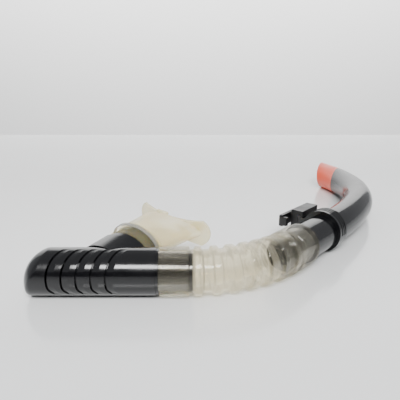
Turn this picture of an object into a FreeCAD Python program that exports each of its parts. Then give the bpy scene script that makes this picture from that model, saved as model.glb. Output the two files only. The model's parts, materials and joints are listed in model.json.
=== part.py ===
"""Snorkel with a corrugated hose, a purge chamber and a strap keeper.

Millimetres, +Z up, lying on its side on a flat surface.  The air path is laid out along one
centreline: it starts where the chamber meets the hose, runs along +X, bends left through the
hose and the barrel, and ends at the barrel's tip.  A place on it is given by its arc length s.
The origin is moved at the end to the middle of the footprint, at the surface it lies on.
"""
import FreeCAD, Part
import math
import os

V = FreeCAD.Vector

# ---- driving dimensions -------------------------------------------------------------------
AXIS_Z = 14.5            # height of the chamber's and the hose's centreline

# centreline of hose and barrel: lengths and turns, one after the other
CUFF_L = 17.4            # smooth cuff at each end of the hose
BELLOWS_L = 70.5         # corrugated stretch, lying in one arc
HOSE_TURN = 49.3         # degrees that the hose bends by as it lies
RIDGES = 7
BARREL_STRAIGHT_END = 149.9
BARREL_EASY_L = 62.0     # slow bend above the keeper
BARREL_EASY_TURN = 13.0
BARREL_BEND_L = 108.0    # main bend over the head
BARREL_BEND_TURN = 48.5
TIP_STRAIGHT_L = 26.5
BARREL_DROOP = 0.49      # degrees: the barrel leans down until its tip rests on the surface

# hose
CUFF_R = 14.5
RIDGE_R = 14.5
VALLEY_R = 12.7
HOSE_WALL = 1.3
RIDGE_W = 5.4            # width of a ridge's crest with its flanks
CUFF_BORE_R = 12.0

# chamber and its spigots
CHAMBER_R = 12.4
CHAMBER_BORE_R = 10.6
CHAMBER_END = -50.0
SPIGOT_R = 11.5
RIB_R = 11.94
SPIGOT_BORE_R = 9.8
SPIGOT_L = 19.5
FLANGE_T = 1.5
FLANGE_R = 13.5

# purge cover
COVER_R = 14.04
COVER_WALL = 1.35
COVER_END = -78.8
COVER_START = -FLANGE_T - 0.1
DOME_R = 19.6            # the end is part of a ball, set low
DOME_Z = 9.5
DOME_FILLET = 4.0
GILLS = 5
GILL_PITCH = 8.25
GILL_W = 4.8             # length of the ramp behind each edge
GILL_DEPTH = 1.0
FIRST_GILL_X = -62.8
GILL_MIDDLE = 2.0        # degrees above the front where a gill's edge lies furthest out
SLIT_W = 1.3             # open slit at the foot of each gill's edge

# neck for the mouthpiece
NECK_X = -34.5           # where its axis crosses the chamber's axis
NECK_AZ = 55.0
NECK_EL = 14.0
NECK_A = 15.6            # half length of the oval, along the chamber
NECK_B = 10.9            # half height of the oval
NECK_WALL = 1.7
NECK_L = 33.0
NECK_ROOT_L = 2.0
SHOULDER = 0.5           # step on the neck that the sleeve is pushed up to
COLLAR_FOOT = 6.0
COLLAR_TOP = 19.8
COLLAR_RIM = 2.0
SLEEVE_START = 25.0
SLEEVE_STEP = 29.4
SLEEVE_END = 34.2
SLEEVE_A = 17.6
SLEEVE_B = 12.8
BAND_T = 0.7

# mouthpiece
MOUTH_X = 2.5            # centre of the labial flange
MOUTH_Y = 52.0
MOUTH_Z = 24.0
MOUTH_AZ = 54.0
MOUTH_EL = 4.0
MOUTH_ROLL = 4.7         # the flange's right end hangs lower
LIP_HALF_L = 30.0
LIP_END_HALF_H = 9.0
LIP_MID_HALF_H = 6.8
LIP_T = 1.6
LIP_CURVE_R = 90.0
THROAT_A = 25.0
THROAT_B = 6.4
MOUTH_BORE_A = 11.0      # half length of the opening between the bite tabs
MOUTH_BORE_B = 4.2
BITE_OFFSET = 16.0
BITE_W = 9.0
BITE_T = 3.2
BITE_L = 11.0
BITE_BEAD = 2.4          # half height of the bead at a tab's end

# purge valve and its seat
SEAT_T = 2.4
SEAT_HUB_R = 3.4
VALVE_R = 9.6
VALVE_T = 0.7
VALVE_LIFT = 1.5
STEM_R = 1.5

# barrel
BARREL_R = 12.5
BARREL_BORE_R = 10.9
TIP_REBATE_R = 11.75
TIP_JOINT = 307.3        # slanted joint between barrel and coloured tip
TIP_END = 335.2          # slanted open end
TIP_JOINT_LEAN = (-0.81, 0.04)   # slopes of the joint's plane, to the left and upwards
TIP_END_LEAN = (-0.75, 0.19)
INNER_SPIGOT_END = 80.5

# keeper
KEEPER_S = 134.7
KEEPER_W = 11.0
KEEPER_BORE_R = BARREL_R + 0.10
KEEPER_R = 14.9
KEEPER_RISE = 1.0        # the ring is thicker on top
RAIL_N = 15.0            # distance of the rail's root from the barrel's axis, to the left
RAIL_Z = 4.7             # height of the rail's middle above the barrel's axis
RAIL_NECK = 2.2
RAIL_NECK_H = 6.0
RAIL_HEAD_T = 1.8
RAIL_HEAD_H = 9.0
RAIL_SLACK = 0.35
BLOCK_N = RAIL_N + 0.35
BLOCK_L = 23.0
BLOCK_W = 9.6
BLOCK_TOP = 12.4
BLOCK_BOTTOM = -1.8
BLOCK_FACE_N = BLOCK_N + BLOCK_W
CLIP_GAP = 0.3
STRAP_GAP = 4.2          # room behind the clip's plate for a strap up to 16 mm wide
CLIP_T = 2.4
CLIP_L = 22.4
CLIP_H = 8.8
CLIP_FRONT = -5.4
CLIP_BOTTOM = -1.0
CLIP_LEG_W = 2.6
BOSS_R = 3.2
PLATE_N = BLOCK_FACE_N + STRAP_GAP
PIN_R = 1.6
PIN_DEPTH = 5.0
PIN_POINT = FreeCAD.Vector(13.4, BLOCK_FACE_N, CLIP_BOTTOM + CLIP_H / 2)


# ---- helpers ------------------------------------------------------------------------------
def heading(deg):
    """Unit vector in the ground plane at that angle from +X."""
    return V(math.cos(math.radians(deg)), math.sin(math.radians(deg)), 0)


def direction(azimuth, elevation):
    """Unit vector at an azimuth from +X and an elevation above the ground."""
    flat = heading(azimuth) * math.cos(math.radians(elevation))
    return flat + V(0, 0, math.sin(math.radians(elevation)))


class Centreline:
    """A chain of tangent lines and arcs in the plane z = AXIS_Z."""

    def __init__(self, runs):
        self.runs = []
        point = V(0, 0, AXIS_Z)
        angle = 0.0
        s = 0.0
        for length, turn in runs:
            self.runs.append((s, length, turn, point, angle))
            point = self.along(point, angle, length, turn, length)
            angle += turn
            s += length
        self.length = s

    @staticmethod
    def along(point, angle, length, turn, distance):
        """The point at that distance along one run."""
        if not turn:
            return point + heading(angle) * distance
        radius = length / math.radians(turn)
        part = turn * distance / length
        return point + (heading(angle + part - 90) - heading(angle - 90)) * radius

    def run_at(self, s):
        """The run that holds arc length s."""
        for run in self.runs:
            if s <= run[0] + run[1] + 1e-9:
                return run
        return self.runs[-1]

    def point(self, s):
        start, length, turn, point, angle = self.run_at(s)
        return self.along(point, angle, length, turn, s - start)

    def angle(self, s):
        start, length, turn, _, angle = self.run_at(s)
        return angle + turn * (s - start) / length

    def wire(self, s_from, s_to):
        """The centreline from s_from to s_to as lines and arcs."""
        edges = []
        for start, length, _, _, _ in self.runs:
            low = max(s_from, start)
            high = min(s_to, start + length)
            if high - low < 1e-6:
                continue
            a, mid, b = (self.point(s) for s in (low, (low + high) / 2, high))
            if (mid - (a + b) * 0.5).Length < 1e-6:
                edges.append(Part.LineSegment(a, b).toShape())
            else:
                edges.append(Part.Arc(a, mid, b).toShape())
        return Part.Wire(edges)

    def tube(self, s_from, s_to, radius):
        """A round bar along the centreline."""
        ring = Part.Circle(self.point(s_from), heading(self.angle(s_from)), radius).toShape()
        return self.wire(s_from, s_to).makePipeShell([Part.Wire(ring)], True, False)


def bar(point, axis, length, radius):
    """A round bar from a point along an axis."""
    return Part.makeCylinder(radius, length, point, axis)


def pipe(point, axis, length, outer, bore):
    """A straight round tube."""
    return bar(point, axis, length, outer).cut(bar(point, axis, length, bore))


def placed(shape, point, x_axis, z_axis):
    """Move a shape modelled at the origin so that its X and Z take these directions."""
    rotation = FreeCAD.Rotation(x_axis, z_axis.cross(x_axis), z_axis, "ZXY")
    moved = shape.copy()
    moved.Placement = FreeCAD.Placement(point, rotation).multiply(moved.Placement)
    return moved


def oval_wire(a, b, z=0.0):
    """An oval with its half length a along X and half height b along Y, at height z."""
    if a >= b:
        return Part.Wire(Part.Ellipse(V(0, 0, z), a, b).toShape())
    wire = Part.Wire(Part.Ellipse(V(0, 0, z), b, a).toShape())
    wire.rotate(V(0, 0, z), V(0, 0, 1), 90)
    return wire


def oval_bar(a, b, z_from, z_to):
    """A straight bar of oval section along Z."""
    return Part.Face(oval_wire(a, b, z_from)).extrude(V(0, 0, z_to - z_from))


def box_between(low, high):
    """A box from its lowest to its highest corner."""
    size = V(*high) - V(*low)
    return Part.makeBox(size.x, size.y, size.z, V(*low))


def half_space(point, normal, size=160.0):
    """A large block on the side of a plane that its normal points to."""
    side = V(0, 0, 1) if abs(normal.z) < 0.9 else V(1, 0, 0)
    block = Part.makeBox(size, size, size, V(-size / 2, -size / 2, 0))
    return placed(block, point, side.cross(normal).normalize(), normal.normalize())


def rounded(shape, radius, keep):
    """The shape with a fillet on the edges that keep() picks."""
    edges = [edge for edge in shape.Edges if keep(edge)]
    return shape.makeFillet(radius, edges)


LINE = Centreline([
    (CUFF_L, 0),
    (BELLOWS_L, HOSE_TURN),
    (BARREL_STRAIGHT_END - CUFF_L - BELLOWS_L, 0),
    (BARREL_EASY_L, BARREL_EASY_TURN),
    (BARREL_BEND_L, BARREL_BEND_TURN),
    (TIP_STRAIGHT_L, 0),
])
HOSE_END = 2 * CUFF_L + BELLOWS_L
PITCH = BELLOWS_L / RIDGES
UPPER_CUFF = CUFF_L + BELLOWS_L
CUFF_HEADING = heading(HOSE_TURN)
CUFF_LEFT = heading(HOSE_TURN + 90)
NECK_AXIS = direction(NECK_AZ, NECK_EL)
NECK_SIDE = heading(NECK_AZ - 90)
MOUTH_AXIS = direction(MOUTH_AZ, MOUTH_EL)
MOUTH_SIDE = direction(MOUTH_AZ - 90, -MOUTH_ROLL)
NECK_ROOT = V(NECK_X, 0, AXIS_Z)
MOUTH_CENTRE = V(MOUTH_X, MOUTH_Y, MOUTH_Z)


def on_neck(shape, distance=0.0):
    """Put a shape modelled along Z on the neck's axis, its X along the oval."""
    return placed(shape, NECK_ROOT + NECK_AXIS * distance, NECK_SIDE, NECK_AXIS)


# ---- chamber, cover, valve ----------------------------------------------------------------
def ribbed_spigot(point, axis, length, bead_at):
    """A hose spigot with low ribs and a bead near its free end."""
    spigot = bar(point, axis, length, SPIGOT_R)
    rib_pitch = 3.0
    rib_w = 1.3
    for i in range(4):
        spigot = spigot.fuse(bar(point + axis * (2.0 + i * rib_pitch), axis, rib_w, RIB_R))
    return spigot.fuse(bar(point + axis * bead_at, axis, 1.6, RIB_R))


def chamber_body():
    x_axis = V(1, 0, 0)
    end = V(CHAMBER_END, 0, AXIS_Z)
    start = V(0, 0, AXIS_Z)
    body = bar(end, x_axis, -CHAMBER_END, CHAMBER_R)
    body = body.fuse(bar(V(-FLANGE_T, 0, AXIS_Z), x_axis, FLANGE_T, FLANGE_R))
    body = body.fuse(ribbed_spigot(start, x_axis, SPIGOT_L, SPIGOT_L - 2.6))
    neck = oval_bar(NECK_A, NECK_B, NECK_ROOT_L, NECK_L)
    shoulder = oval_bar(NECK_A + SHOULDER, NECK_B + SHOULDER, NECK_ROOT_L, SLEEVE_START - 0.6)
    body = body.fuse(on_neck(neck.fuse(shoulder)))
    # the neck starts inside the chamber, so the chamber's bore is cut after it is joined on
    body = body.cut(bar(end, x_axis, -CHAMBER_END - 2.0, CHAMBER_BORE_R))
    body = body.cut(bar(start - x_axis * 3, x_axis, SPIGOT_L + 4, SPIGOT_BORE_R))
    airway = oval_bar(NECK_A - NECK_WALL, NECK_B - NECK_WALL, NECK_ROOT_L + 1, NECK_L + 1)
    return body.cut(on_neck(airway)).removeSplitter()


def neck_window():
    """The hole in the cover that the neck passes through."""
    room = SHOULDER + 0.4
    return on_neck(oval_bar(NECK_A + room, NECK_B + room, 1, NECK_L))


def collar():
    """The cover's raised collar round the neck, wider at its foot."""
    foot = on_neck(oval_wire(NECK_A + 4.6, NECK_B + 2.6), COLLAR_FOOT)
    rim = on_neck(oval_wire(NECK_A + COLLAR_RIM, NECK_B + COLLAR_RIM), COLLAR_TOP)
    return Part.makeLoft([foot, rim], True, False)


def domed_bar(radius, ball_radius):
    """A bar along X whose far end is part of a low-set ball."""
    ball_x = COVER_END + DOME_R
    start = V(COVER_START, 0, AXIS_Z)
    body = bar(start, V(-1, 0, 0), COVER_START - ball_x, radius)
    nose = bar(V(ball_x, 0, AXIS_Z), V(-1, 0, 0), DOME_R + 4, radius)
    ball = Part.makeSphere(ball_radius, V(ball_x, 0, DOME_Z))
    return body.fuse(nose.common(ball)).removeSplitter()


def gill_edge_x(theta):
    """How far a gill's edge runs back towards the hose at an angle round the cover."""
    above = max(0.0, theta - GILL_MIDDLE)
    below = max(0.0, GILL_MIDDLE - theta)
    return 7.6 * (above / 86.0) ** 2 + 3.5 * (below / 46.0) ** 3


def gill_section(theta, x, depth, width, outside=0.8):
    """The cutter's section at one angle: deep at the edge, flush at the end of the ramp."""
    angle = math.radians(theta)

    def at(dx, radius):
        return V(x + dx, -radius * math.cos(angle), AXIS_Z + radius * math.sin(angle))

    corners = [at(0, COVER_R + outside), at(0, COVER_R - depth),
               at(width, COVER_R - 0.02), at(width, COVER_R + outside)]
    return Part.makePolygon(corners + corners[:1])


def gill_cutter(first_x, depth, width, low=-44, high=88, steps=11):
    """A ramped groove that wraps round the front of the cover."""
    wires = []
    for i in range(steps):
        share = i / (steps - 1)
        theta = low + (high - low) * share
        fade = math.sin(math.pi * share) ** 0.35 if 0 < share < 1 else 0.0
        wires.append(gill_section(theta, first_x + gill_edge_x(theta),
                                  0.12 + (depth - 0.12) * fade, width))
    return Part.makeLoft(wires, True, False)


def purge_cover():
    shell = domed_bar(COVER_R, DOME_R)
    shell = rounded(shell, DOME_FILLET, dome_edge).fuse(collar())
    shell = shell.cut(domed_bar(COVER_R - COVER_WALL, DOME_R - COVER_WALL))
    shell = shell.cut(neck_window())
    for i in range(GILLS):
        x = FIRST_GILL_X + i * GILL_PITCH
        shell = shell.cut(gill_cutter(x, GILL_DEPTH, GILL_W))
        shell = shell.cut(gill_cutter(x + 0.05, COVER_WALL + 1.2, SLIT_W, -30, 66, 7))
    return shell


def dome_edge(edge):
    """True for the edges where the ball meets the round cover."""
    box = edge.BoundBox
    return box.XMax < COVER_END + DOME_R + 6 and box.ZLength > 10 and box.XLength > 2


def valve_seat():
    x_axis = V(1, 0, 0)
    face = V(CHAMBER_END - SEAT_T, 0, AXIS_Z)
    seat = bar(face, x_axis, SEAT_T, CHAMBER_R)
    seat = seat.fuse(bar(V(CHAMBER_END, 0, AXIS_Z), x_axis, 3.0, CHAMBER_BORE_R - 0.05))
    hollow = bar(face, x_axis, SEAT_T + 3, 8.8)
    spokes = bar(face, x_axis, SEAT_T, SEAT_HUB_R)
    for i in range(3):
        spoke = box_between((0, -0.9, 0), (SEAT_T, 0.9, 9.2))
        spoke.rotate(V(0, 0, 0), x_axis, 60 + 120 * i)
        spoke.translate(face)
        spokes = spokes.fuse(spoke)
    seat = seat.cut(hollow).fuse(spokes)
    return seat.cut(bar(face - x_axis, x_axis, SEAT_T + 2, STEM_R + 0.1)).removeSplitter()


def purge_valve():
    x_axis = V(1, 0, 0)
    disc_face = CHAMBER_END - SEAT_T - 0.1
    disc = bar(V(disc_face - VALVE_T, 0, AXIS_Z), x_axis, VALVE_T, VALVE_R)
    stem = bar(V(disc_face - 0.2, 0, AXIS_Z), x_axis, SEAT_T + VALVE_LIFT + 1.4, STEM_R)
    bulb = Part.makeSphere(2.1, V(CHAMBER_END + VALVE_LIFT + 2.6, 0, AXIS_Z))
    return disc.fuse(stem).fuse(bulb).removeSplitter()


# ---- mouthpiece ---------------------------------------------------------------------------
def cover_room():
    """The room that the cover takes, which the soft sleeve is trimmed to."""
    return bar(V(-60, 0, AXIS_Z), V(1, 0, 0), 80, COVER_R + 0.3)


def mouthpiece_band():
    z_from = SLEEVE_STEP + 1.2
    z_to = SLEEVE_END - 1.2
    ring = oval_bar(SLEEVE_A + BAND_T, SLEEVE_B + BAND_T, z_from, z_to)
    ring = ring.cut(oval_bar(SLEEVE_A + 0.02, SLEEVE_B + 0.02, z_from, z_to))
    return on_neck(ring).cut(cover_room())


def throat(a_neck, b_neck, a_lip, b_lip, neck_at, lip_at):
    """The loft from the neck's end to the flange."""
    first = on_neck(oval_wire(a_neck, b_neck), neck_at)
    last = placed(oval_wire(a_lip, b_lip), MOUTH_CENTRE + MOUTH_AXIS * lip_at,
                  MOUTH_SIDE, MOUTH_AXIS)
    return Part.makeLoft([first, last], True, False)


def lip_cylinder(radius):
    """The round block that the flange is bent to, on the side of the teeth."""
    return bar(V(0, -40, LIP_CURVE_R), V(0, 1, 0), 80, radius)


def lip_flange():
    """The thin curved flange, lower in the middle than at its ends."""
    h_end = LIP_END_HALF_H
    h_mid = LIP_MID_HALF_H
    half = LIP_HALF_L
    corner = 5.0
    top = Part.Arc(V(-half + corner, h_end, 0), V(0, h_mid, 0), V(half - corner, h_end, 0))
    right = Part.Arc(V(half - corner, h_end, 0), V(half, 0, 0), V(half - corner, -h_end, 0))
    bottom = Part.Arc(V(half - corner, -h_end, 0), V(0, -h_mid, 0), V(-half + corner, -h_end, 0))
    left = Part.Arc(V(-half + corner, -h_end, 0), V(-half, 0, 0), V(-half + corner, h_end, 0))
    outline = Part.Wire([arc.toShape() for arc in (top, right, bottom, left)])
    block = Part.Face(outline).extrude(V(0, 0, 20))
    return block.common(lip_cylinder(LIP_CURVE_R)).cut(lip_cylinder(LIP_CURVE_R - LIP_T))


def on_lip(shape):
    """Put a shape modelled on the flange's own axes in its place."""
    return placed(shape, MOUTH_CENTRE, MOUTH_SIDE, MOUTH_AXIS)


def bite_tab(side):
    """One of the two tabs held between the teeth."""
    x = side * BITE_OFFSET
    start = LIP_CURVE_R - math.sqrt(LIP_CURVE_R ** 2 - x ** 2) + LIP_T * 0.5
    tab = box_between((x - BITE_W / 2, -BITE_T / 2, start), (x + BITE_W / 2, BITE_T / 2,
                                                           start + BITE_L))
    tab = rounded(tab, 1.4, lambda edge: edge.BoundBox.ZLength > BITE_L - 1)
    bead = box_between((x - BITE_W / 2, -BITE_BEAD, start + BITE_L - 2.6),
                       (x + BITE_W / 2, BITE_BEAD, start + BITE_L))
    bead = rounded(bead, 1.1, lambda edge: edge.BoundBox.XLength > BITE_W - 1)
    return tab.fuse(bead)


def mouthpiece():
    sleeve = oval_bar(SLEEVE_A - 0.9, SLEEVE_B - 0.7, SLEEVE_START, SLEEVE_STEP)
    sleeve = sleeve.fuse(oval_bar(SLEEVE_A, SLEEVE_B, SLEEVE_STEP, SLEEVE_END))
    body = on_neck(sleeve)
    flare = throat(SLEEVE_A - 0.6, SLEEVE_B - 0.6, THROAT_A, THROAT_B, SLEEVE_END - 0.5,
                   LIP_T + 4.0)
    body = body.fuse(flare.cut(on_lip(lip_cylinder(LIP_CURVE_R - LIP_T / 2))))
    body = body.fuse(on_lip(lip_flange().fuse(bite_tab(-1)).fuse(bite_tab(1))))
    socket = on_neck(oval_bar(NECK_A + 0.02, NECK_B + 0.02, 8, NECK_L + 0.1))
    hollow = throat(NECK_A - NECK_WALL, NECK_B - NECK_WALL, THROAT_A - 4.5, MOUTH_BORE_B + 0.8,
                    NECK_L - 1.0, -2.0)
    mouth = on_lip(oval_bar(MOUTH_BORE_A, MOUTH_BORE_B, -4.0, LIP_T + 3.0))
    return body.cut(socket).cut(hollow).cut(mouth).cut(cover_room())


# ---- hose ---------------------------------------------------------------------------------
def ridge_profile(radius_change):
    """Half section of one convolution along X, grown or shrunk by radius_change."""
    reach = PITCH / 2 + 1.5
    half = RIDGE_W / 2
    crest = half - 1.1
    valley = VALLEY_R + radius_change
    ridge = RIDGE_R + radius_change
    return [V(-reach, valley, 0), V(-half, valley, 0), V(-crest, ridge, 0), V(crest, ridge, 0),
            V(half, valley, 0), V(reach, valley, 0)]


def convolution(index):
    """One ridge of the hose, cut square to the centreline in the valleys beside it."""
    def solid(change):
        points = ridge_profile(change)
        loop = [V(points[0].x, 0, 0)] + points + [V(points[-1].x, 0, 0)]
        return Part.Face(Part.makePolygon(loop + loop[:1])).revolve(V(0, 0, 0), V(1, 0, 0), 360)

    s_mid = CUFF_L + PITCH * (index + 0.5)
    ring = solid(0).cut(solid(-HOSE_WALL))
    along = heading(LINE.angle(s_mid))
    return placed(ring, LINE.point(s_mid), along, V(0, 0, 1))


def trimmed(shape, s_from, s_to, gap=0.06):
    """The part of a shape between two stations, a hair short of each."""
    low = LINE.point(s_from) + heading(LINE.angle(s_from)) * gap
    high = LINE.point(s_to) - heading(LINE.angle(s_to)) * gap
    shape = shape.cut(half_space(low, heading(LINE.angle(s_from)) * -1))
    return shape.cut(half_space(high, heading(LINE.angle(s_to))))


def valley(index):
    """Station of the valley before ridge index, or of the bellows' two ends."""
    return CUFF_L + PITCH * index


def smooth_cuff(s_from, s_to):
    """A plain cuff between two stations on a straight run."""
    return pipe(LINE.point(s_from), heading(LINE.angle(s_from)), s_to - s_from, CUFF_R,
                CUFF_BORE_R)


def hose_lower_cuff():
    ridge = trimmed(convolution(0), valley(0), valley(1), 0.06)
    joint = pipe(LINE.point(CUFF_L - 0.8), V(1, 0, 0), 2.0, VALLEY_R + 0.6, CUFF_BORE_R)
    cuff = smooth_cuff(0.1, CUFF_L).fuse(joint).fuse(ridge)
    # the bead of the chamber's spigot sits in the first stretch of the bellows
    bead_room = bar(V(0, 0, AXIS_Z), V(1, 0, 0), SPIGOT_L + 0.1, CUFF_BORE_R)
    return cuff.cut(bead_room).removeSplitter()


def hose_upper_cuff():
    ridge = trimmed(convolution(RIDGES - 1), valley(RIDGES - 1), valley(RIDGES), 0.06)
    joint = pipe(LINE.point(UPPER_CUFF) - CUFF_HEADING * 1.2, CUFF_HEADING, 2.0,
                 VALLEY_R + 0.6, CUFF_BORE_R)
    cuff = smooth_cuff(UPPER_CUFF, HOSE_END - 0.1)
    return drooped(cuff.fuse(joint).fuse(ridge).removeSplitter())


# ---- barrel -------------------------------------------------------------------------------
def drooped(shape):
    """Lean a shape down about the start of the upper cuff."""
    moved = shape.copy()
    moved.rotate(LINE.point(UPPER_CUFF), CUFF_LEFT, BARREL_DROOP)
    return moved


def slanted(s, lean):
    """A cutting block beyond a slanted plane at station s."""
    along = heading(LINE.angle(s))
    left = heading(LINE.angle(s) + 90)
    return half_space(LINE.point(s), along - left * lean[0] - V(0, 0, lean[1]))


BARREL_START = HOSE_END + 1.1
TIP_ROOT = TIP_JOINT - 14   # well below the slanted joint
LINER_START = LINE.length - TIP_STRAIGHT_L


def barrel_spigot():
    """The insert that joins barrel and hose: its lower half turns in the cuff."""
    end = LINE.point(HOSE_END)
    body = ribbed_spigot(end, CUFF_HEADING * -1, 15.5, 12.6)
    tail = HOSE_END - INNER_SPIGOT_END
    body = body.fuse(bar(end, CUFF_HEADING * -1, tail, SPIGOT_BORE_R + 0.9))
    body = body.fuse(bar(end, CUFF_HEADING, BARREL_START - HOSE_END, FLANGE_R))
    body = body.fuse(bar(end, CUFF_HEADING, 14.0, BARREL_BORE_R - 0.03))
    bore = bar(end - CUFF_HEADING * (tail + 1), CUFF_HEADING, tail + 20, SPIGOT_BORE_R - 0.5)
    return drooped(body.cut(bore).removeSplitter())


def barrel_tube():
    outer = LINE.tube(BARREL_START, LINER_START, BARREL_R)
    bore = LINE.tube(BARREL_START, LINER_START, BARREL_BORE_R)
    rebate = LINE.tube(TIP_ROOT, LINER_START, BARREL_R + 2)
    rebate = rebate.cut(LINE.tube(TIP_ROOT, LINER_START, TIP_REBATE_R))
    rebate = rebate.common(slanted(TIP_JOINT, TIP_JOINT_LEAN))
    return drooped(outer.cut(rebate).cut(bore))


def tip_liner():
    """The thin inner tube at the top, that the coloured sleeve is pushed over."""
    liner = LINE.tube(LINER_START + 0.05, LINE.length, TIP_REBATE_R)
    liner = liner.cut(LINE.tube(LINER_START + 0.05, LINE.length, BARREL_BORE_R))
    return drooped(liner.cut(slanted(TIP_END, TIP_END_LEAN)))


def barrel_tip():
    sleeve = LINE.tube(TIP_ROOT, LINE.length, BARREL_R + 0.06)
    sleeve = sleeve.cut(LINE.tube(TIP_ROOT, LINE.length, TIP_REBATE_R + 0.02))
    sleeve = sleeve.common(slanted(TIP_JOINT + 0.05, TIP_JOINT_LEAN))
    return drooped(sleeve.cut(slanted(TIP_END - 0.7, TIP_END_LEAN)))


# ---- keeper -------------------------------------------------------------------------------
def on_keeper(shape):
    """From keeper axes (X along the barrel, Y left, Z up) to the barrel."""
    return drooped(placed(shape, LINE.point(KEEPER_S), CUFF_HEADING, V(0, 0, 1)))


def tee_rail(x_from, x_to, slack):
    """The T-shaped rail on the ring's left, or the groove for it with some slack all round."""
    neck = box_between((x_from, RAIL_N - 6, RAIL_Z - RAIL_NECK_H / 2 - slack),
                       (x_to, RAIL_N + RAIL_NECK + slack, RAIL_Z + RAIL_NECK_H / 2 + slack))
    head = box_between((x_from, RAIL_N + RAIL_NECK - slack, RAIL_Z - RAIL_HEAD_H / 2 - slack),
                       (x_to, RAIL_N + RAIL_NECK + RAIL_HEAD_T + slack,
                        RAIL_Z + RAIL_HEAD_H / 2 + slack))
    return neck.fuse(head)


def keeper_ring():
    along = V(1, 0, 0)
    ring = bar(V(0, 0, KEEPER_RISE), along, KEEPER_W, KEEPER_R)
    above = half_space(V(0, 0, 0), V(0, 0, 1))
    for i in range(3):
        rib = bar(V(3.4 + 2.6 * i, 0, KEEPER_RISE), along, 0.9, KEEPER_R + 0.3)
        ring = ring.fuse(rib.common(above))
    ring = ring.fuse(tee_rail(0, KEEPER_W, 0))
    ring = ring.cut(bar(V(-1, 0, 0), along, KEEPER_W + 2, KEEPER_BORE_R))
    return on_keeper(ring.removeSplitter())


def release_block():
    """The socket block that slides on the ring's rail and carries the strap clip."""
    body = box_between((0, BLOCK_N, BLOCK_BOTTOM), (BLOCK_L, BLOCK_N + BLOCK_W, BLOCK_TOP))
    body = rounded(body, 0.8, lambda edge: edge.BoundBox.YMin > BLOCK_N + 1)
    body = body.cut(tee_rail(-1, KEEPER_W + 0.8, RAIL_SLACK))
    return on_keeper(body.cut(bar(PIN_POINT, V(0, -1, 0), PIN_DEPTH, PIN_R)))


def strap_clip():
    """The clip: a plate that stands off the block, so that a mask strap runs behind it."""
    plate = box_between((CLIP_FRONT, PLATE_N, CLIP_BOTTOM),
                        (CLIP_FRONT + CLIP_L, PLATE_N + CLIP_T, CLIP_BOTTOM + CLIP_H))
    plate = rounded(plate, 1.2, lambda edge: edge.BoundBox.YLength > CLIP_T - 0.1)
    leg = box_between((CLIP_FRONT, BLOCK_FACE_N + CLIP_GAP, CLIP_BOTTOM + 1.2),
                      (CLIP_FRONT + CLIP_LEG_W, PLATE_N + 0.2, CLIP_BOTTOM + CLIP_H - 1.2))
    boss = bar(PIN_POINT + V(0, CLIP_GAP, 0), V(0, 1, 0), PLATE_N - BLOCK_FACE_N, BOSS_R)
    hole = bar(PIN_POINT - V(0, 1, 0), V(0, 1, 0), STRAP_GAP + CLIP_T + 3, PIN_R + 0.06)
    return on_keeper(plate.fuse(leg).fuse(boss).cut(hole).removeSplitter())


def clip_pin():
    """The rivet that the strap clip turns on."""
    head_n = PLATE_N + CLIP_T + 0.1
    shank = bar(PIN_POINT - V(0, PIN_DEPTH, 0), V(0, 1, 0),
                PIN_DEPTH + head_n - BLOCK_FACE_N, PIN_R)
    head = bar(V(PIN_POINT.x, head_n, PIN_POINT.z), V(0, 1, 0), 1.2, 2.9)
    head = rounded(head, 0.6, lambda edge: edge.BoundBox.YMin > head_n + 1.1)
    return on_keeper(shank.fuse(head).removeSplitter())


# ---- the whole part -----------------------------------------------------------------------
def build():
    """Every piece by name, in the centreline's own place."""
    shapes = {
        "chamber_body": chamber_body(),
        "purge_cover": purge_cover(),
        "valve_seat": valve_seat(),
        "purge_valve": purge_valve(),
        "mouthpiece": mouthpiece(),
        "mouthpiece_band": mouthpiece_band(),
        "hose_lower_cuff": hose_lower_cuff(),
    }
    for i in range(1, RIDGES - 1):
        shapes["hose_ridge_%d" % (i + 1)] = trimmed(convolution(i), valley(i), valley(i + 1))
    shapes.update({
        "hose_upper_cuff": hose_upper_cuff(),
        "barrel_spigot": barrel_spigot(),
        "barrel_tube": barrel_tube(),
        "tip_liner": tip_liner(),
        "barrel_tip": barrel_tip(),
        "keeper_ring": keeper_ring(),
        "release_block": release_block(),
        "strap_clip": strap_clip(),
        "clip_pin": clip_pin(),
    })
    return shapes


def footprint_shift(shapes):
    """The move that puts the origin under the middle of the part."""
    box = FreeCAD.BoundBox()
    for shape in shapes.values():
        box.add(shape.optimalBoundingBox(False))
    return V(-box.Center.x, -box.Center.y, -box.ZMin)


PARTS = build()
SHIFT = footprint_shift(PARTS)

os.makedirs("parts", exist_ok=True)
for node, shape in PARTS.items():
    shape.translate(SHIFT)
    shape.exportStep("parts/%s.step" % node)
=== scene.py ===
import json
import math

import bpy
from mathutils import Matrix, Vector


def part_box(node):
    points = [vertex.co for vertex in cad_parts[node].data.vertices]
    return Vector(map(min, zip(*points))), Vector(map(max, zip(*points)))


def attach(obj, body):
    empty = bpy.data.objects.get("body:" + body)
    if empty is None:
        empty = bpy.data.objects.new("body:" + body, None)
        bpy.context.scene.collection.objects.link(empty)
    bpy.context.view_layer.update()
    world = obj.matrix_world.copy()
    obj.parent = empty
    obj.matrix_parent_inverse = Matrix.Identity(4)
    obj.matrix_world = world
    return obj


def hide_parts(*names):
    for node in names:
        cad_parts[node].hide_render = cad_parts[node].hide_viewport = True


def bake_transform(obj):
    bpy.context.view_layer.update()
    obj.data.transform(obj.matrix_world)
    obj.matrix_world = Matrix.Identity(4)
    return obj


bl_info = {
    "name": "Snorkel finisher",
    "version": (1, 0, 0),
    "blender": (4, 5, 0),
    "location": "3D View > Sidebar > Snorkel",
    "description": "Models and finishes a snorkel's visible pieces around its packed frame",
    "category": "Object",
}

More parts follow.
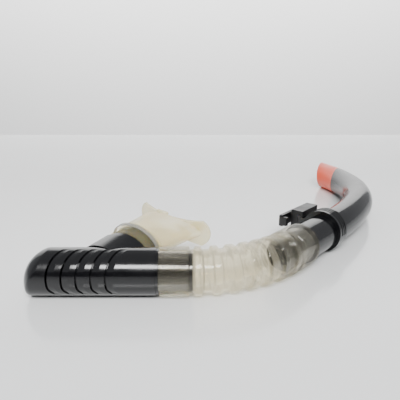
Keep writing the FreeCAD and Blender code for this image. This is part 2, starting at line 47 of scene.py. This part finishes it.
MM = 0.001
RING_SEGMENTS = 96       # round the hose
BELLOWS_STEPS = 28       # along one length of the bellows
CUFF_STEPS = 16          # along the half ridge beside a cuff
RIDGE_FLANK = 1.5 * MM
CUFF_LIP = 0.5 * MM      # chamfer at each edge of a cuff
FLANK_SMOOTHING = 40     # degrees: sharper edges stay sharp

# the stage, in metres
TABLE_EDGE_Y = 0.48
WALL_Y = 1.25
FLAG_Y = -1.3
CAMERA_OFFSET = Vector((23.5, -248.0, 133.5)) * MM    # from the hose's start, at the table
CAMERA_PITCH = 16.91     # degrees downwards
CAMERA_LENS = 41.87      # millimetres, on a sensor 36 mm wide

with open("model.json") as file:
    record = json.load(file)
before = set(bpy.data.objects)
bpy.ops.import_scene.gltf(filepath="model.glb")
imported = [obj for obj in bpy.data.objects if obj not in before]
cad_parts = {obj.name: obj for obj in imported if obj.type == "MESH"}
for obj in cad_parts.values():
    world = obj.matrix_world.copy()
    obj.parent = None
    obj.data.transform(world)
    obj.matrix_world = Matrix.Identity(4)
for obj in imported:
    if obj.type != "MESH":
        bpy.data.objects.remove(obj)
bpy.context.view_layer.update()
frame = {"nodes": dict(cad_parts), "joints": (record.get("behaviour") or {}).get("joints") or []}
JOINTS = {joint["name"]: joint for joint in frame["joints"]}


# ---- places taken from the frame ------------------------------------------------------------
def middle_of(node):
    """The middle of a CAD node's box."""
    low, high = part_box(node)
    return (low + high) / 2


AXIS_Y = middle_of("valve_seat").y
AXIS_Z = middle_of("valve_seat").z
HOSE_START = Vector((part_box("hose_lower_cuff")[0].x, AXIS_Y, AXIS_Z))
NECK_ROOT = HOSE_START - Vector((34.5 * MM, 0, 0))
NECK_AZIMUTH, NECK_ELEVATION = math.radians(55), math.radians(14)
NECK_AXIS = Vector((math.cos(NECK_AZIMUTH) * math.cos(NECK_ELEVATION),
                    math.sin(NECK_AZIMUTH) * math.cos(NECK_ELEVATION), math.sin(NECK_ELEVATION)))
SLEEVE_END = 34.2 * MM    # how far along the neck's axis the mouthpiece's sleeve reaches
CUFF_AXIS = Vector(JOINTS["barrel_twist"]["axis"])
UPPER_CUFF = Vector(JOINTS["barrel_twist"]["pos_m"])
CHAMBER_AXIS = Vector((1, 0, 0))
HOSE_LINKS = ["chamber"] + ["hose_link_%d" % k for k in range(2, 7)] + ["upper_cuff"]
HINGES = [Vector(JOINTS["hose_bend_%d" % k]["pos_m"]) for k in range(1, len(HOSE_LINKS))]


# ---- sizes and colours that a user would change -----------------------------------------------
def length(name, description, millimetres):
    """A length property whose default is given in millimetres."""
    return bpy.props.FloatProperty(name=name, description=description, min=0.0,
                                   default=millimetres * MM, precision=5,
                                   subtype="DISTANCE", unit="LENGTH")


def linear(hex_colour):
    """Turn an sRGB hex value into linear red, green and blue."""
    channels = [int(hex_colour[i:i + 2], 16) / 255 for i in (1, 3, 5)]
    return [c / 12.92 if c <= 0.04045 else ((c + 0.055) / 1.055) ** 2.4 for c in channels]


def colour(name, description, hex_colour):
    """A colour property whose default is given in sRGB hex."""
    return bpy.props.FloatVectorProperty(name=name, description=description, size=3,
                                         subtype="COLOR", min=0.0, max=1.0,
                                         default=linear(hex_colour))


class SnorkelSizes(bpy.types.PropertyGroup):
    cuff_length: length("Cuff length", "Smooth cuff at each end of the hose", 17.3)
    cuff_radius: length("Cuff radius", "Outer radius of the smooth cuffs", 14.5)
    cuff_bore: length("Cuff bore", "Bore radius of the smooth cuffs", 12.02)
    ridge_radius: length("Ridge radius", "Outer radius of the hose's ridges", 14.5)
    valley_radius: length("Valley radius", "Outer radius between two ridges", 12.7)
    hose_wall: length("Hose wall", "Thickness of the corrugated wall", 1.2)
    ridge_width: length("Ridge width", "Width of a ridge over its flanks", 6.0)


class SnorkelColours(bpy.types.PropertyGroup):
    abs_black: colour("Black ABS", "Barrel and chamber", "#0c0c0e")
    acetal_black: colour("Black acetal", "Strap clip and its block", "#101012")
    pvc: colour("Clear PVC", "Hose", "#f8f3e2")
    silicone: colour("Silicone", "Mouthpiece", "#f6edcf")
    band: colour("Band", "Mouthpiece band", "#a4a6a9")
    orange: colour("Tip", "Coloured sleeve at the top of the barrel", "#e4522f")
    table: colour("Table", "Surface that the snorkel lies on", "#e6e7e7")
    wall: colour("Wall", "Backdrop", "#f2f2f1")


# ---- small modelling helpers ------------------------------------------------------------------
def deselect_all():
    """Leave edit mode and select nothing."""
    if bpy.context.mode != "OBJECT":
        bpy.ops.object.mode_set(mode="OBJECT")
    bpy.ops.object.select_all(action="DESELECT")


def make_active(piece):
    """Select one piece and make it the active one."""
    deselect_all()
    piece.select_set(True)
    bpy.context.view_layer.objects.active = piece


def apply_modifier(piece, kind, **settings):
    """Add a modifier with its settings and apply it."""
    make_active(piece)
    modifier = piece.modifiers.new(kind.title(), kind)
    for name, value in settings.items():
        setattr(modifier, name, value)
    bpy.ops.object.modifier_apply(modifier=modifier.name)


def settle(piece):
    """Put the piece's place into its mesh, so that its object sits at the origin."""
    make_active(piece)
    bpy.ops.object.transform_apply(location=True, rotation=True, scale=True)


def lathe(name, profile, segments):
    """A ring turned about X from a closed profile of (x, radius), by extruding a circle."""
    deselect_all()
    x, radius = profile[0]
    bpy.ops.mesh.primitive_circle_add(vertices=segments, radius=radius, location=(x, 0, 0),
                                      rotation=(0, math.pi / 2, 0))
    piece = bpy.context.object
    piece.name = name
    settle(piece)
    bpy.ops.object.mode_set(mode="EDIT")
    bpy.ops.mesh.select_all(action="SELECT")
    for next_x, next_radius in profile[1:] + profile[:1]:
        bpy.ops.mesh.extrude_region_move(
            TRANSFORM_OT_translate={"value": (next_x - x, 0, 0)})
        factor = next_radius / radius
        bpy.ops.transform.resize(value=(1, factor, factor), center_override=(next_x, 0, 0))
        x, radius = next_x, next_radius
    bpy.ops.mesh.select_all(action="SELECT")
    bpy.ops.mesh.remove_doubles(threshold=0.00001)
    bpy.ops.mesh.normals_make_consistent(inside=False)
    bpy.ops.object.mode_set(mode="OBJECT")
    return piece


def smooth_by_angle(piece, degrees):
    """Smooth shading, except over edges sharper than the angle."""
    make_active(piece)
    bpy.ops.object.shade_smooth_by_angle(angle=math.radians(degrees))


# ---- materials ----------------------------------------------------------------------------------
def add_node(tree, kind, inputs=None, **settings):
    """Add a shader node, set its fields and fill its sockets with values or links."""
    item = tree.nodes.new(kind)
    for name, value in settings.items():
        setattr(item, name, value)
    for name, value in (inputs or {}).items():
        if isinstance(value, bpy.types.NodeSocket):
            tree.links.new(value, item.inputs[name])
        else:
            item.inputs[name].default_value = value
    return item


def new_material(name):
    """An empty node material with only its output."""
    material = bpy.data.materials.new(name)
    material.use_nodes = True
    material.node_tree.nodes.clear()
    output = add_node(material.node_tree, "ShaderNodeOutputMaterial")
    return material, material.node_tree, output


def per_metre(millimetres):
    """The noise scale that gives features of about that size on Object coordinates."""
    return 1.0 / (millimetres * MM)


def solid(rgb):
    return (rgb[0], rgb[1], rgb[2], 1.0)


def moulded_gloss(name, rgb, rough_low, rough_high, peel=0.02):
    """Moulded gloss plastic: hazy handling marks in the gloss and a faint orange peel."""
    material, tree, output = new_material(name)
    place = add_node(tree, "ShaderNodeTexCoord").outputs["Object"]
    smears = add_node(tree, "ShaderNodeTexNoise", {"Vector": place, "Scale": per_metre(14),
                                                  "Detail": 5.0, "Roughness": 0.6})
    rough = add_node(tree, "ShaderNodeMapRange", {
        "Value": smears.outputs["Fac"], "From Min": 0.35, "From Max": 0.7,
        "To Min": rough_low, "To Max": rough_high})
    grain = add_node(tree, "ShaderNodeTexNoise", {"Vector": place, "Scale": per_metre(1.6),
                                                 "Detail": 2.0})
    bump = add_node(tree, "ShaderNodeBump", {"Height": grain.outputs["Fac"],
                                             "Strength": peel, "Distance": 0.3 * MM})
    shader = add_node(tree, "ShaderNodeBsdfPrincipled", {
        "Base Color": solid(rgb), "Roughness": rough.outputs["Result"], "IOR": 1.53,
        "Normal": bump.outputs["Normal"]})
    tree.links.new(shader.outputs["BSDF"], output.inputs["Surface"])
    return material


def clear_vinyl(name, rgb, straight):
    """Clear plasticised PVC: a little yellowed, with soft flow lines from moulding.

    The share called straight is the light that passes the thin wall without being bent.
    """
    material, tree, output = new_material(name)
    place = add_node(tree, "ShaderNodeTexCoord").outputs["Object"]
    flow = add_node(tree, "ShaderNodeTexNoise", {"Vector": place, "Scale": per_metre(7),
                                                "Detail": 3.0})
    rough = add_node(tree, "ShaderNodeMapRange", {
        "Value": flow.outputs["Fac"], "From Min": 0.3, "From Max": 0.7,
        "To Min": 0.01, "To Max": 0.05})
    bump = add_node(tree, "ShaderNodeBump", {"Height": flow.outputs["Fac"],
                                             "Strength": 0.08, "Distance": 0.5 * MM})
    shader = add_node(tree, "ShaderNodeBsdfPrincipled", {
        "Base Color": solid(rgb), "Roughness": rough.outputs["Result"], "IOR": 1.5,
        "Transmission Weight": 0.96, "Normal": bump.outputs["Normal"]})
    through = add_node(tree, "ShaderNodeBsdfTransparent", {
        "Color": solid([0.5 + 0.5 * c for c in rgb])})
    mixed = add_node(tree, "ShaderNodeMixShader", {"Fac": straight})
    tree.links.new(shader.outputs["BSDF"], mixed.inputs[1])
    tree.links.new(through.outputs["BSDF"], mixed.inputs[2])
    tree.links.new(mixed.outputs["Shader"], output.inputs["Surface"])
    return material


def open_joint(name):
    """Fully clear: the faces where two lengths of the hose meet inside its wall."""
    material, tree, output = new_material(name)
    shader = add_node(tree, "ShaderNodeBsdfTransparent")
    tree.links.new(shader.outputs["BSDF"], output.inputs["Surface"])
    return material


def cloudy_silicone(name, rgb, clear_near, clear_far, root=None, axis=None, sleeve_end=0.0):
    """Translucent silicone rubber: milky inside, smooth skin, faint yellow clouds from age.

    It is clearer where it is stretched over the neck, up to sleeve_end along the neck's axis.
    """
    material, tree, output = new_material(name)
    place = add_node(tree, "ShaderNodeTexCoord").outputs["Object"]
    clouds = add_node(tree, "ShaderNodeTexNoise", {"Vector": place, "Scale": per_metre(16),
                                                  "Detail": 3.0})
    tint = add_node(tree, "ShaderNodeMix", {
        "Factor": clouds.outputs["Fac"], "A": solid(rgb),
        "B": solid([rgb[0] * 0.96, rgb[1] * 0.93, rgb[2] * 0.78])}, data_type="RGBA")
    shader = add_node(tree, "ShaderNodeBsdfPrincipled", {
        "Base Color": tint.outputs["Result"], "Roughness": 0.22, "IOR": 1.41,
        "Transmission Weight": 0.25, "Subsurface Weight": 0.8,
        "Subsurface Radius": (1.0, 0.8, 0.45), "Subsurface Scale": 4 * MM})
    through = add_node(tree, "ShaderNodeBsdfTransparent", {
        "Color": solid([0.6 + 0.4 * c for c in rgb])})
    mixed = add_node(tree, "ShaderNodeMixShader", {"Fac": clear_far})
    if axis is not None:
        from_root = add_node(tree, "ShaderNodeVectorMath", {0: place, 1: tuple(root)},
                             operation="SUBTRACT")
        along = add_node(tree, "ShaderNodeVectorMath", {0: from_root.outputs["Vector"],
                                                        1: tuple(axis)},
                         operation="DOT_PRODUCT")
        share = add_node(tree, "ShaderNodeMapRange", {
            "Value": along.outputs["Value"], "From Min": sleeve_end - 1.0 * MM,
            "From Max": sleeve_end + 2.5 * MM, "To Min": clear_near, "To Max": clear_far})
        tree.links.new(share.outputs["Result"], mixed.inputs["Fac"])
    tree.links.new(shader.outputs["BSDF"], mixed.inputs[1])
    tree.links.new(through.outputs["BSDF"], mixed.inputs[2])
    tree.links.new(mixed.outputs["Shader"], output.inputs["Surface"])
    return material


def plain_surface(name, rgb, roughness):
    """The stage's smooth painted surface."""
    material, tree, output = new_material(name)
    shader = add_node(tree, "ShaderNodeBsdfPrincipled", {"Base Color": solid(rgb),
                                                         "Roughness": roughness})
    tree.links.new(shader.outputs["BSDF"], output.inputs["Surface"])
    return material


def finish_node(node, material):
    """Give a CAD node its material and leave its shape alone."""
    slots = frame["nodes"][node].data.materials
    slots.clear()
    slots.append(material)


# ---- pieces -------------------------------------------------------------------------------------
class SNORKEL_OT_stage(bpy.types.Operator):
    """Set the table, the backdrop, the soft lights and the camera"""
    bl_idname = "snorkel.stage"
    bl_label = "Stage"

    def execute(self, context):
        colours = context.scene.snorkel_colours
        lacquer = plain_surface("white lacquer", colours.table, 0.16)
        paint = plain_surface("white wall paint", colours.wall, 0.8)
        felt = plain_surface("black felt", (0.01, 0.01, 0.01), 0.9)
        self.panel("table", lacquer, (3.0, 2.4), (0, TABLE_EDGE_Y - 1.2, 0), 0)
        self.panel("wall", paint, (2.6, 1.4), (-0.35, WALL_Y, 0.5), 90)
        self.panel("flag", felt, (3.0, 0.55), (0, FLAG_Y, 0.275), 90)
        self.lights(context)
        self.camera(context)
        return {"FINISHED"}

    def panel(self, name, material, size, place, tilt):
        """A flat rectangle of the stage, lying down or stood up by its tilt."""
        deselect_all()
        bpy.ops.mesh.primitive_plane_add(size=1.0, location=place,
                                         rotation=(math.radians(tilt), 0, 0))
        piece = bpy.context.object
        piece.name = name
        piece.scale = (size[0], size[1], 1)
        settle(piece)
        piece.data.materials.append(material)

    def lights(self, context):
        """A softbox high in front, one that washes the wall, and a dim surround."""
        world = bpy.data.worlds.new("studio")
        world.use_nodes = True
        background = world.node_tree.nodes["Background"]
        background.inputs["Color"].default_value = (0.95, 0.97, 1.0, 1)
        background.inputs["Strength"].default_value = 0.5
        context.scene.world = world
        softboxes = [("softbox_front", (0.0, -0.92, 0.82), (48, 0, 0), (0.8, 0.3), 26.0),
                     ("softbox_wall", (0, 0.7, 0.75), (55, 0, 0), (2.2, 0.3), 30.0)]
        for name, place, turn, size, power in softboxes:
            deselect_all()
            bpy.ops.object.light_add(type="AREA", location=place,
                                     rotation=[math.radians(a) for a in turn])
            light = context.object
            light.name = name
            light.data.shape = "RECTANGLE"
            light.data.size, light.data.size_y = size
            light.data.energy = power

    def camera(self, context):
        """The camera looks along +Y and a little down, from in front of the hose's first cuff."""
        deselect_all()
        place = Vector((HOSE_START.x, HOSE_START.y, 0)) + CAMERA_OFFSET
        bpy.ops.object.camera_add(location=place,
                                  rotation=(math.radians(90 - CAMERA_PITCH), 0, 0))
        camera = context.object
        camera.name = "camera"
        camera.data.sensor_width = 36.0
        camera.data.lens = CAMERA_LENS
        camera.data.clip_start = 0.01
        context.scene.camera = camera


class SNORKEL_OT_hard_parts(bpy.types.Operator):
    """Finish the moulded hard pieces that keep their frame shape"""
    bl_idname = "snorkel.hard_parts"
    bl_label = "Hard parts"

    def execute(self, context):
        colours = context.scene.snorkel_colours
        gloss = moulded_gloss("gloss black ABS, moulded", colours.abs_black, 0.10, 0.22)
        satin = moulded_gloss("satin black acetal, moulded", colours.acetal_black, 0.34, 0.48,
                              0.08)
        orange = moulded_gloss("orange ABS, moulded", colours.orange, 0.28, 0.4)
        smoky = cloudy_silicone("smoky elastomer band", colours.band, 0.5, 0.5)
        silicone = cloudy_silicone("silicone rubber, moulded", colours.silicone, 0.91, 0.58,
                                   NECK_ROOT, NECK_AXIS, SLEEVE_END)
        finishes = {
            gloss: ["chamber_body", "purge_cover", "valve_seat", "barrel_spigot",
                    "barrel_tube", "tip_liner", "keeper_ring"],
            satin: ["release_block", "strap_clip", "clip_pin"],
            orange: ["barrel_tip"],
            smoky: ["mouthpiece_band"],
            silicone: ["purge_valve", "mouthpiece"],
        }
        for material, nodes in finishes.items():
            for node in nodes:
                finish_node(node, material)
        return {"FINISHED"}


class SNORKEL_OT_hose(bpy.types.Operator):
    """Model the clear corrugated hose, one length across each bending valley"""
    bl_idname = "snorkel.hose"
    bl_label = "Hose"

    def execute(self, context):
        sizes = context.scene.snorkel_sizes
        self.measure(sizes)
        vinyl = clear_vinyl("clear PVC, plasticised", context.scene.snorkel_colours.pvc, 0.65)
        joint = open_joint("joint inside the hose wall")
        path = self.centreline(context)
        first_mid = sizes.cuff_length + self.pitch / 2
        pieces = [self.end_piece(sizes, "hose_lower_end", first_mid, False)]
        for k in range(len(HOSE_LINKS) - 1):
            start = first_mid + k * self.pitch
            pieces.append(self.wall_piece(sizes, "hose_bellows_%d" % (k + 1), start,
                                          start + self.pitch))
        pieces.append(self.end_piece(sizes, "hose_upper_end", self.total - first_mid, True))
        for piece in pieces:
            piece.data.materials.append(vinyl)
            piece.data.materials.append(joint)
            self.mark_joints(piece)
            smooth_by_angle(piece, FLANK_SMOOTHING)
            apply_modifier(piece, "CURVE", object=path, deform_axis="POS_X")
        self.hang_on(pieces)
        bpy.data.objects.remove(path)
        return {"FINISHED"}

    def measure(self, sizes):
        """The bellows' length and radius, from the hinges that stand in its valleys."""
        chord = (HINGES[-1] - HINGES[0]).length
        step = (HINGES[1] - HINGES[0]).length
        self.turn = math.atan2(CUFF_AXIS.y, CUFF_AXIS.x)
        ridges = len(HOSE_LINKS)
        half_step = self.turn / ridges / 2
        self.bend_radius = step / (2 * math.sin(half_step))
        self.bellows = self.bend_radius * self.turn
        self.pitch = self.bellows / ridges
        self.total = 2 * sizes.cuff_length + self.bellows
        if chord <= step:
            raise RuntimeError("the hose's hinges are out of order")

    def centreline(self, context):
        """The hose's centreline as a smooth curve: straight, one arc, straight."""
        sizes = context.scene.snorkel_sizes
        handle = self.bend_radius * 4 / 3 * math.tan(self.turn / 4)
        start = HOSE_START
        bend = start + CHAMBER_AXIS * sizes.cuff_length
        flat = Vector((CUFF_AXIS.x, CUFF_AXIS.y, 0)).normalized()
        straight = sizes.cuff_length / 3
        knots = [(start, start - CHAMBER_AXIS * straight, start + CHAMBER_AXIS * straight),
                 (bend, bend - CHAMBER_AXIS * straight, bend + CHAMBER_AXIS * handle),
                 (UPPER_CUFF, UPPER_CUFF - flat * handle, UPPER_CUFF + CUFF_AXIS * straight)]
        end = UPPER_CUFF + CUFF_AXIS * sizes.cuff_length
        knots.append((end, end - CUFF_AXIS * straight, end + CUFF_AXIS * straight))
        data = bpy.data.curves.new("hose_centreline", "CURVE")
        data.dimensions = "3D"
        data.twist_mode = "Z_UP"
        data.resolution_u = 64
        spline = data.splines.new("BEZIER")
        spline.bezier_points.add(len(knots) - 1)
        for point, (place, left, right) in zip(spline.bezier_points, knots):
            point.handle_left_type = point.handle_right_type = "FREE"
            point.co = place
            point.handle_left = left
            point.handle_right = right
        path = bpy.data.objects.new("hose_centreline", data)
        context.scene.collection.objects.link(path)
        return path

    def bump(self, sizes, x):
        """How far a ridge rises at a distance x along the bellows, from 0 to 1."""
        from_mid = abs((x / self.pitch) % 1.0 - 0.5) * self.pitch
        edge = sizes.ridge_width / 2
        share = min(1.0, max(0.0, (edge - from_mid) / RIDGE_FLANK))
        return share * share * (3 - 2 * share)

    def radius(self, sizes, s):
        """The hose's outer radius at a distance s along it."""
        x = s - sizes.cuff_length
        rise = self.bump(sizes, x)
        return sizes.valley_radius + (sizes.ridge_radius - sizes.valley_radius) * rise

    def wall_profile(self, sizes, start, end, steps):
        """The wall's closed section between two stations: out along the outside, back inside."""
        stations = [start + (end - start) * i / steps for i in range(steps + 1)]
        outside = [(s, self.radius(sizes, s)) for s in stations]
        inside = [(s, r - sizes.hose_wall) for s, r in reversed(outside)]
        return outside + inside

    def wall_piece(self, sizes, name, start, end):
        """One length of the bellows, from the middle of a ridge to the middle of the next."""
        profile = self.wall_profile(sizes, start, end, BELLOWS_STEPS)
        return lathe(name, profile, RING_SEGMENTS)

    def end_piece(self, sizes, name, mid, upper):
        """A smooth cuff with the half ridge that joins it to the bellows."""
        cuff = sizes.cuff_length
        bore = sizes.cuff_bore
        wall = self.wall_profile(sizes, cuff, cuff + self.pitch / 2, CUFF_STEPS)
        outside = wall[:CUFF_STEPS + 1]
        inside = wall[CUFF_STEPS + 1:]
        edge_radius = sizes.cuff_radius - CUFF_LIP
        shoulder = [(0.0, bore), (0.0, edge_radius), (CUFF_LIP, sizes.cuff_radius),
                    (cuff - CUFF_LIP, sizes.cuff_radius), (cuff, edge_radius)]
        inner_edge = [(cuff - 0.2 * MM, inside[-1][1]), (cuff - 0.9 * MM, bore)]
        profile = shoulder + outside[1:] + inside + inner_edge
        if upper:
            profile = [(self.total - x, r) for x, r in profile]
        return lathe(name, profile, RING_SEGMENTS)

    def mark_joints(self, piece):
        """The flat faces inside the wall, where two lengths meet, are clear."""
        first_mid = bpy.context.scene.snorkel_sizes.cuff_length + self.pitch / 2
        for polygon in piece.data.polygons:
            place = (polygon.center.x - first_mid) / self.pitch
            if abs(polygon.normal.x) > 0.99 and abs(place - round(place)) < 0.001:
                if -0.5 < place < len(HOSE_LINKS) - 0.5:
                    polygon.material_index = 1

    def hang_on(self, pieces):
        """Ride the ends on their bodies, and leave each length between them fixed where it lies.
        """
        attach(pieces[0], HOSE_LINKS[0])
        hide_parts("hose_lower_cuff")
        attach(pieces[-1], HOSE_LINKS[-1])
        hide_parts("hose_upper_cuff")
        for k, piece in enumerate(pieces[1:-1]):
            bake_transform(piece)
            if k + 2 < len(HOSE_LINKS):
                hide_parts("hose_ridge_%d" % (k + 2))


PIECES = (SNORKEL_OT_stage, SNORKEL_OT_hard_parts, SNORKEL_OT_hose)


class SNORKEL_PT_pieces(bpy.types.Panel):
    """Lists the snorkel's sizes, colours and pieces"""
    bl_idname = "SNORKEL_PT_pieces"
    bl_label = "Snorkel"
    bl_space_type = "VIEW_3D"
    bl_region_type = "UI"
    bl_category = "Snorkel"

    def draw(self, context):
        for group in (context.scene.snorkel_sizes, context.scene.snorkel_colours):
            column = self.layout.column(align=True)
            for name in group.__annotations__:
                column.prop(group, name)
        for piece in PIECES:
            self.layout.operator(piece.bl_idname)


CLASSES = (SnorkelSizes, SnorkelColours) + PIECES + (SNORKEL_PT_pieces,)


def register():
    for item in CLASSES:
        bpy.utils.register_class(item)
    bpy.types.Scene.snorkel_sizes = bpy.props.PointerProperty(type=SnorkelSizes)
    bpy.types.Scene.snorkel_colours = bpy.props.PointerProperty(type=SnorkelColours)


def unregister():
    del bpy.types.Scene.snorkel_colours
    del bpy.types.Scene.snorkel_sizes
    for item in reversed(CLASSES):
        bpy.utils.unregister_class(item)


def main():
    register()
    bpy.ops.snorkel.stage()
    bpy.ops.snorkel.hard_parts()
    bpy.ops.snorkel.hose()


if __name__ == "__main__":
    main()
